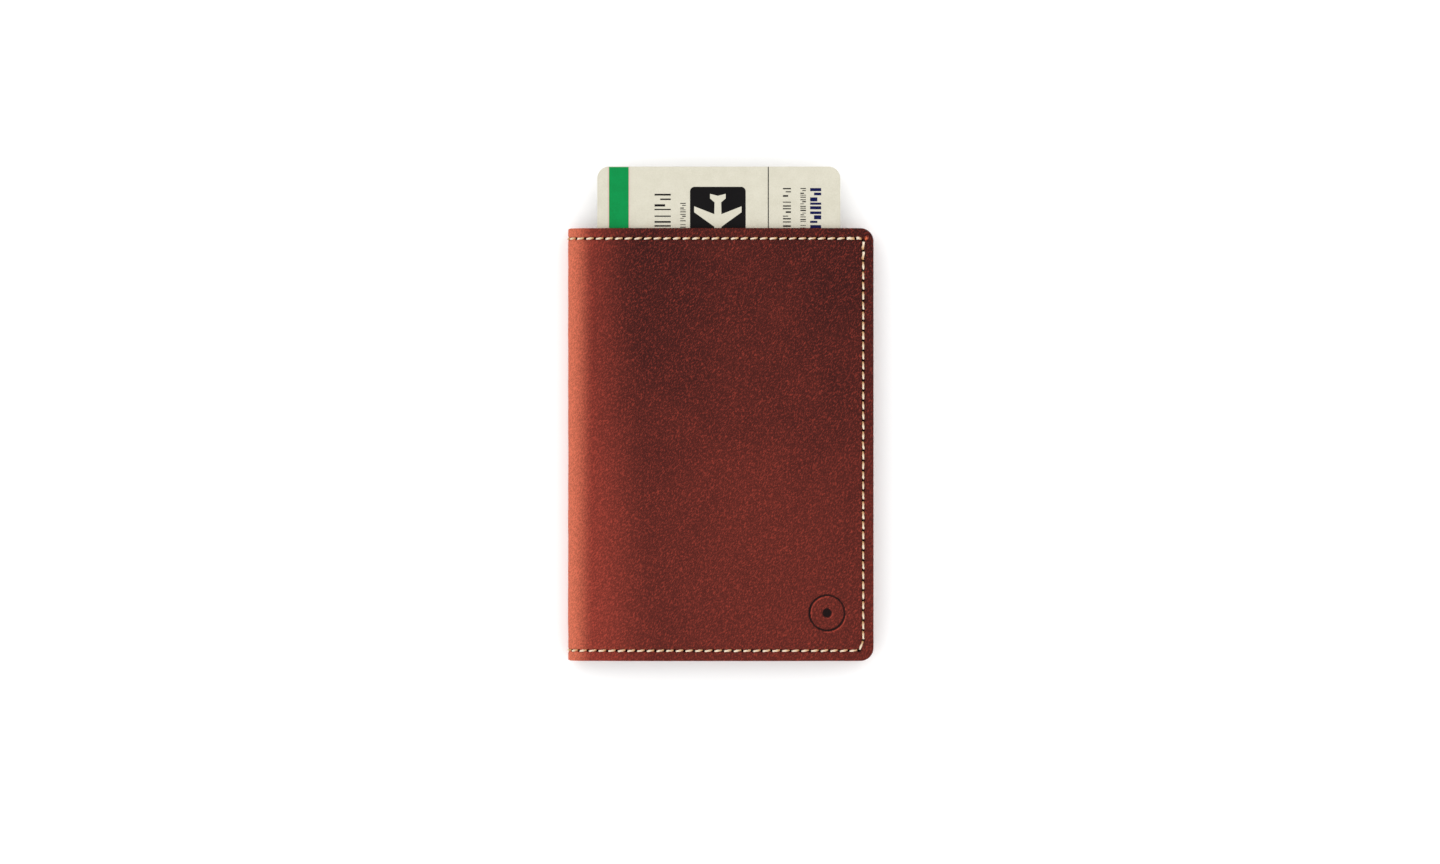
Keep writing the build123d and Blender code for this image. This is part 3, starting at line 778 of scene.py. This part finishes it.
def sleeve_line(y):
    """Free edge of the passport sleeve, bowed away from the spine."""
    return sleeve_low[0] + SLEEVE_BOW * (1 - (y / TOP) ** 2)


panel_solid("passport_sleeve_leather", "passport_sleeve_panel", "back_cover", on_back,
            sleeve_high[2], POCKET_LEATHER, sleeve_low[0], -TOP, TOP, gap=SLEEVE_GAP,
            left_shape=sleeve_line,
            extra_x=[(sleeve_low[0] + CREASE_INSET, 0.9, 0.3)],
            extra_y=[(side * ROW_Y, 0.9, 0.3) for side in (1, -1)])

# ---------------------------------------------------------------- thread

STRAND = 10
STEPS = 13


def stitch_points(a, b, slant, lift, dive, width, height, twist_phase):
    """One twisted stitch from hole a to hole b in the unrolled plane: x, y, rise and place along."""
    a, b = np.array(a, float), np.array(b, float)
    along = (b - a) / np.linalg.norm(b - a)
    across = np.array([-along[1], along[0]])
    a = a - across * slant + along * 0.28
    b = b + across * slant - along * 0.28
    t = np.linspace(0, 1, STEPS)[:, None]
    turn = np.linspace(0, 2 * math.pi, STRAND, endpoint=False)[None, :]
    bow = np.sin(math.pi * np.clip(t, 0, 1)) ** 0.45
    rise = -dive + (dive + lift) * bow
    ply = 1 + 0.13 * np.cos(2 * (turn - twist_phase - 5.2 * t))
    taper = 0.78 + 0.22 * np.sin(math.pi * t) ** 0.5
    side = np.cos(turn) * width / 2 * ply * taper
    up = np.sin(turn) * height / 2 * ply * taper
    sway = across[None, None, :] * (0.05 * np.sin(2 * math.pi * t))[:, :, None]
    centre = a + (b - a) * t
    xy = centre[:, None, :] + across[None, None, :] * side[:, :, None] + sway
    return xy[..., 0], xy[..., 1], rise + up, np.broadcast_to(t, side.shape)


def thread_group(name, stitches, place, level, nodes, body, width=0.66, height=0.56, lift=0.16,
                 dive=0.55, flip=False):
    """All the stitches of one side as one piece. level gives each point's depth below the face."""
    verts, faces, uvs = [], [], []
    ring = np.arange(STRAND)
    for number, (a, b, slant) in enumerate(stitches):
        wobble = RNG.normal(0, 0.035, 4)
        x, y, rise, t = stitch_points(a, b, slant + wobble[0], lift + wobble[1] * 0.6, dive,
                                      width * (1 + wobble[2]), height * (1 + wobble[2]), wobble[3] * 20)
        depth = level(x, y) - rise
        start = sum(len(v) for v in verts)
        verts.append(np.stack([c.ravel() for c in place(x, y, depth)], -1))
        uvs.append(np.stack([t.ravel(), np.full(t.size, number * 0.01)], -1))
        for step in range(STEPS - 1):
            here = start + step * STRAND + ring
            nxt = start + step * STRAND + np.roll(ring, -1)
            faces += np.stack([here, nxt, nxt + STRAND, here + STRAND], -1).tolist()
        faces.append((start + ring[::-1]).tolist())
        faces.append((start + (STEPS - 1) * STRAND + ring).tolist())
    if flip:
        faces = [face[::-1] for face in faces]
    obj = new_mesh(name, np.concatenate(verts), faces, [thread], None, np.concatenate(uvs), 70)
    if body:
        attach(obj, body)
    if nodes:
        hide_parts(*nodes)
    return obj


def runs(holes, slant):
    """Stitches between neighbouring holes."""
    return [(holes[k + 1], holes[k], slant) for k in range(len(holes) - 1)]


def border_runs():
    """Every border stitch of a cover, as (start hole, end hole, slant)."""
    column = runs(column_holes, 0.14)
    corner = [(CORNER_HOLE, column_holes[-1], -0.02)]
    top_corner = [(top_holes[0], TOP_CORNER_HOLE, 0.12)]
    bottom_corner = [(bottom_holes[0], CORNER_HOLE, 0.05)]
    short = [s for s in bottom_corner if abs(s[0][0] - s[1][0]) > 1.6]
    return runs(top_holes, 0.27) + top_corner + column + corner + short + runs(bottom_holes, 0.27)


outer_level = constant(CHANNEL_DEPTH)
BACK_THREAD_DEPTH = 0.42
front_thread = thread_group("front_border_thread", border_runs(), on_front, outer_level,
                            ["front_cover_outer_stitches"], None)
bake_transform(front_thread)
back_thread = thread_group("back_border_thread", border_runs(), on_back, constant(BACK_THREAD_DEPTH),
                           ["back_cover_outer_stitches"], None, flip=True, height=0.5, lift=0.05)
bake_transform(back_thread)


def spine_place(x, y, depth):
    """Stitches up the flat of the spine: x is the height."""
    return LEFT + depth, y, x


spine_half = THICK / 2
first_gap = top_holes[-1][0] - SPINE_MIDDLE
spine_runs = [((spine_half - first_gap, side * ROW_Y), (spine_half + first_gap, side * ROW_Y), 0.1)
              for side in (1, -1)]
thread_group("spine_outer_thread", spine_runs, spine_place, outer_level, ["spine_outer_stitches"],
             "spine", flip=True)


def front_inner(x, y):
    """Depth of the front cover's inner face where a stitch shows."""
    level = np.full_like(x, card_levels[3])
    for node, depth in zip(reversed(card_nodes), reversed(card_levels[:3])):
        level = np.where(y < node_box(node)[1][1], depth, level)
    level = np.where(y > pocket_high[1], LEATHER + LINING - 0.14, level)
    return np.where(x < PANEL_LEFT, LEATHER + LINING, level)


def back_inner(x, y):
    """Depth of the back cover's inner face where a stitch shows."""
    return np.where(x > sleeve_line(y), sleeve_high[2] - SLEEVE_GAP, LEATHER + LINING)


def thread_inside(name, stitches, place, level, nodes, body, flip):
    """Thread on an inner face: the rise is turned over by measuring depth the other way."""
    def turned(x, y, depth):
        face = level(x, y)
        return place(x, y, face + (face - depth))
    return thread_group(name, stitches, turned, level, nodes, body, width=0.8, height=0.34,
                        lift=0.03, dive=0.25, flip=not flip)


def not_at_mouths(stitches):
    """Leaves out stitches that would lie across the edge of a pocket."""
    mouths = [node_box(node)[1][1] for node in card_nodes] + [pocket_high[1]]
    kept = []
    for a, b, slant in stitches:
        low, high = sorted((a[1], b[1]))
        crosses = high - low > 1 and any(low - 0.3 < m < high + 0.3 for m in mouths)
        if not crosses:
            kept.append((a, b, slant))
    return kept


lining_level = constant(LEATHER + LINING)
thread_inside("spine_inner_thread", spine_runs, spine_place, lining_level, [], "spine", True)
fold_end = FLAT_START + 0.5
flat_runs = [s for s in border_runs() if min(s[0][0], s[1][0]) > fold_end]
fold_runs = [s for s in border_runs() if min(s[0][0], s[1][0]) <= fold_end]
thread_inside("front_inner_thread", not_at_mouths(flat_runs), on_front, front_inner,
              ["front_cover_inner_stitches"], "front_cover", False)
thread_inside("back_inner_thread", [s for s in flat_runs
                                    if abs(min(s[0][0], s[1][0]) - sleeve_low[0]) > 2.5],
              on_back, back_inner, ["back_cover_inner_stitches"], "back_cover", True)
front_fold_thread = thread_inside("front_fold_inner_thread", fold_runs, on_front, lining_level,
                                  ["spine_inner_stitches"], None, False)
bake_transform(front_fold_thread)
back_fold_thread = thread_inside("back_fold_inner_thread", fold_runs, on_back, lining_level,
                                 [], None, True)
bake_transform(back_fold_thread)

SEAM_X = -42.9
SEAM_TOP = 62.0
SEAM_HOLE_COUNT = 39
SEAM_SINK = 0.3
side_holes = [(SEAM_X, SEAM_TOP - k * COLUMN_PITCH) for k in range(SEAM_HOLE_COUNT)]
thread_inside("side_seam_thread", not_at_mouths(runs(side_holes, 0.08)), on_front, front_inner,
              ["card_pocket_side_seam"], "front_cover", False)
for name, level in (("card_pocket_upper_seam", card_levels[2]),
                    ("card_pocket_middle_seam", card_levels[1])):
    low, high = node_box(name)
    count = int((high[0] - low[0]) / ROW_PITCH)
    seam_y = (low[1] + high[1]) / 2
    seam_holes = [(high[0] - k * ROW_PITCH, seam_y) for k in range(count + 1)]
    thread_inside(name + "_thread", runs(seam_holes, 0.08), on_front, constant(level - SEAM_SINK),
                  [name], "front_cover", False)

# backstitches and the frayed end at the top corner of the fore-edge
second_pass = [(top_holes[1], top_holes[0], -0.10), (top_holes[0], TOP_CORNER_HOLE, -0.16),
               *[(b, a, -s) for a, b, s in runs(column_holes[:3], 0.10)]]
thread_group("corner_backstitches", second_pass, on_front, constant(-0.16),
             ["front_corner_backstitches"], "front_cover", height=0.5, width=0.8, lift=0.1)


FIBRES = 26


def frayed_end():
    """A tuft of short bent fibres spreading from where the small knot sits, in its place."""
    low, high = node_box("corner_thread_knot")
    centre = (low + high) / 2
    verts, faces, uvs = [], [], []
    sides = 6
    ring = np.arange(sides)
    turn = ring * 2 * math.pi / sides
    for fibre in range(FIBRES):
        heading = RNG.uniform(0, 2 * math.pi)
        reach = RNG.uniform(0.35, 0.95)
        radius = RNG.uniform(0.05, 0.11)
        start_z = RNG.uniform(-0.05, 0.12)
        t = np.linspace(0, 1, 7)
        x = centre[0] + np.cos(heading + 1.3 * t) * reach * t
        y = centre[1] + np.sin(heading + 1.3 * t) * reach * t
        rise = start_z + 0.32 * np.sin(math.pi * t) * RNG.uniform(0.4, 1.1)
        base = sum(len(v) for v in verts)
        rings = []
        for k in range(len(t)):
            shrink = radius * (1 - 0.6 * t[k])
            px, py, pz = on_front(x[k] + np.cos(turn) * shrink, y[k] + np.sin(turn) * shrink * 0.6,
                                  -rise[k] - np.sin(turn) * shrink)
            rings.append(np.stack([px, py + np.zeros_like(px), pz], -1))
        verts.append(np.concatenate(rings))
        uvs.append(np.stack([np.repeat(t, sides), np.full(len(t) * sides, fibre * 0.01)], -1))
        for step in range(len(t) - 1):
            here = base + step * sides + ring
            nxt = base + step * sides + np.roll(ring, -1)
            faces += np.stack([here, nxt, nxt + sides, here + sides], -1).tolist()
        faces.append((base + ring[::-1]).tolist())
        faces.append((base + (len(t) - 1) * sides + ring).tolist())
    obj = new_mesh("corner_frayed_end", np.concatenate(verts), faces, [thread_end], None,
                   np.concatenate(uvs), 80)
    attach(obj, "front_cover")
    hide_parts("corner_thread_knot")


frayed_end()

# ---------------------------------------------------------------- boarding pass

PASS_CORNER_R = 3.9
PASS_TOP = pass_high[1]
PASS_Z = (pass_low[2] + pass_high[2]) / 2
PRINT_LIFT = 0.04


def rounded_outline(x0, x1, y0, y1, radius, steps=8):
    """Points round a rectangle with rounded corners."""
    points = []
    for cx, cy, start in ((x1 - radius, y1 - radius, 0), (x0 + radius, y1 - radius, 90),
                          (x0 + radius, y0 + radius, 180), (x1 - radius, y0 + radius, 270)):
        for k in range(steps + 1):
            a = math.radians(start + 90 * k / steps)
            points.append((cx + radius * math.cos(a), cy + radius * math.sin(a)))
    return points


def pass_height(x, y):
    """The card bows a little, and settles with the cover that it lies behind."""
    out = smooth((y - TOP - 8) / 14)
    settled = PASS_Z - front_sag(x, np.minimum(y, TOP)) * (1 - out)
    return settled - 0.55 * out + 0.35 * out * (x / 40) ** 2


def pass_piece(name, outlines, low, high, material):
    """Flat pieces of card or ink that follow the card's bow."""
    bm = bmesh.new()
    for points in outlines:
        verts = [bm.verts.new((x, y, 0)) for x, y in points]
        bm.faces.new(verts)
    for axis, start, stop, step in ((1, -60, 92, 2.0), (0, -42, 40, 2.5)):
        for value in np.arange(start, stop, step):
            at = (0, value, 0) if axis else (value, 0, 0)
            normal = (0, 1, 0) if axis else (1, 0, 0)
            bmesh.ops.bisect_plane(bm, geom=bm.verts[:] + bm.edges[:] + bm.faces[:], plane_co=at,
                                   plane_no=normal)
    grown = bmesh.ops.extrude_face_region(bm, geom=bm.faces[:])
    raised = {v for v in grown["geom"] if isinstance(v, bmesh.types.BMVert)}
    for v in bm.verts:
        base = float(pass_height(np.array(v.co.x), np.array(v.co.y)))
        v.co.z = base + (high if v in raised else low)
    bmesh.ops.recalc_face_normals(bm, faces=bm.faces[:])
    for v in bm.verts:
        v.co *= MM
    mesh = bpy.data.meshes.new(name)
    bm.to_mesh(mesh)
    bm.free()
    mesh.materials.append(material)
    mesh.polygons.foreach_set("use_smooth", np.ones(len(mesh.polygons), bool))
    mesh.set_sharp_from_angle(angle=math.radians(30))
    obj = bpy.data.objects.new(name, mesh)
    bpy.context.scene.collection.objects.link(obj)
    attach(obj, "boarding_pass")
    return obj


half_card = (pass_high[2] - pass_low[2]) / 2
card_outline = rounded_outline(pass_low[0], pass_high[0], pass_low[1], pass_high[1], PASS_CORNER_R)
pass_card = pass_piece("pass_card", [card_outline], -half_card, half_card, card)
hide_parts("boarding_pass")
ink_low, ink_high = half_card - 0.004, half_card + PRINT_LIFT


def box_outline(x0, x1, y0, y1):
    """Four corners."""
    return [(x0, y0), (x1, y0), (x1, y1), (x0, y1)]


def tick_words(x, width, top, words, stroke, space, gap):
    """Rows of plain ticks that stand for printed words, running down the card."""
    ticks = []
    y = top
    for number, count in enumerate(words):
        for k in range(count):
            thick = stroke * (1, 0.7, 1.3, 0.85)[(k * 3 + number) % 4]
            low, high = ((0, 1), (0, 1), (0.35, 1), (0, 1), (0, 0.65))[(k * 2 + number) % 5]
            ticks.append(box_outline(x + width * low, x + width * high, y - thick, y))
            y -= thick + space * (1, 1.4, 0.8)[(k + number) % 3]
        y -= gap
    return ticks


STRIPE = (-36.5, -30.1)
stripe_ends = (pass_low[1] + 0.6, PASS_TOP - 0.15)
pass_piece("pass_stripe", [box_outline(*STRIPE, *stripe_ends)], ink_low, ink_high, ink_green)
pass_piece("pass_stripe_borders",
           [box_outline(STRIPE[0] - 0.45, STRIPE[0] - 0.02, *stripe_ends),
            box_outline(STRIPE[1] + 0.02, STRIPE[1] + 0.45, *stripe_ends)],
           ink_low, ink_high, ink_pink)
badge = rounded_outline(-10.0, 8.2, 60.0, 84.3, 1.5)
pass_piece("pass_badge", [badge], ink_low, ink_high, ink_black)
pass_piece("pass_fold_rule", [box_outline(15.45, 15.75, pass_low[1] + 0.5, PASS_TOP - 0.1)],
           ink_low, ink_high, ink_black)
dark_words = (tick_words(-21.6, 5.3, 82.0, (4, 5, 4, 6, 5), 0.55, 1.0, 0.8)
              + tick_words(-13.2, 1.8, 79.0, (9, 5, 8, 6, 9, 7), 0.26, 0.42, 0.7)
              + tick_words(20.4, 2.6, 83.9, (3, 8, 6, 9, 7, 8), 0.40, 0.66, 1.1)
              + tick_words(26.1, 1.8, 83.9, (16, 9, 12, 8, 10), 0.28, 0.42, 0.7))
pass_piece("pass_dark_print", dark_words, ink_low, ink_high, ink_black)
navy_words = tick_words(29.3, 3.6, 83.9, (9, 7, 8, 6), 1.0, 0.5, 1.4)
pass_piece("pass_navy_print", navy_words, ink_low, ink_high, ink_navy)


def plane_outline(cx, nose_y, length, span):
    """A plain swept-wing aeroplane seen from above, nose down."""
    half = [(0.0, 0.0), (0.055, 0.05), (0.075, 0.14), (0.075, 0.50), (0.5, 0.72), (0.5, 0.81),
            (0.075, 0.69), (0.07, 0.87), (0.165, 0.93), (0.165, 1.0), (0.0, 0.97)]
    right = [(cx + x * span, nose_y + y * length) for x, y in half]
    left = [(cx - x * span, nose_y + y * length) for x, y in reversed(half[1:-1])]
    return right + left


pass_piece("pass_pictogram", [plane_outline(-0.9, 60.5, 21.5, 15.5)],
           ink_high - 0.004, ink_high + 0.01, card)

# ---------------------------------------------------------------- floor, light and camera

FLOOR_DROP = 0.02
ROOM_LIGHT = 1.27
FRAME_WIDTH = 470.3
LOOKS_AT = (-0.2, 4.1)


def build_stage():
    """White table, broad soft light from above and the left."""
    bpy.ops.mesh.primitive_plane_add(size=6, location=(0, 0, -FLOOR_DROP * MM))
    floor = bpy.context.object
    floor.name = "floor"
    n = Nodes("floor_white")
    n.shader.inputs["Base Color"].default_value = (0.985, 0.985, 0.985, 1)
    n.shader.inputs["Roughness"].default_value = 0.9
    n.shader.inputs["Specular IOR Level"].default_value = 0.1
    floor.data.materials.append(n.material)
    floor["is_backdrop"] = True

    world = bpy.data.worlds.new("studio")
    bpy.context.scene.world = world
    world.use_nodes = True
    world.node_tree.nodes["Background"].inputs[0].default_value = (1, 1, 1, 1)
    world.node_tree.nodes["Background"].inputs[1].default_value = ROOM_LIGHT

    def area(name, location, target, size, power):
        data = bpy.data.lights.new(name, "AREA")
        data.shape = "RECTANGLE"
        data.size, data.size_y = size
        data.energy = power
        lamp = bpy.data.objects.new(name, data)
        lamp.location = location
        direction = np.array(target, float) - np.array(location, float)
        lamp.rotation_euler = Vector(direction).to_track_quat("-Z", "Y").to_euler()
        bpy.context.scene.collection.objects.link(lamp)

    area("key_left", (-0.38, 0.30, 1.0), (0, 0, 0), (0.8, 0.8), 0.9)


def build_camera():
    """Looks straight down, with +Y up the picture."""
    data = bpy.data.cameras.new("camera")
    data.lens = 100
    data.sensor_width = 36
    data.clip_end = 20
    distance = FRAME_WIDTH * MM * data.lens / data.sensor_width
    camera = bpy.data.objects.new("camera", data)
    camera.location = (LOOKS_AT[0] * MM, LOOKS_AT[1] * MM, distance + THICK * MM)
    camera.rotation_euler = (0, 0, 0)
    bpy.context.scene.collection.objects.link(camera)
    bpy.context.scene.camera = camera


build_stage()
build_camera()
bpy.context.scene.view_settings.view_transform = "Standard"

low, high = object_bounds()
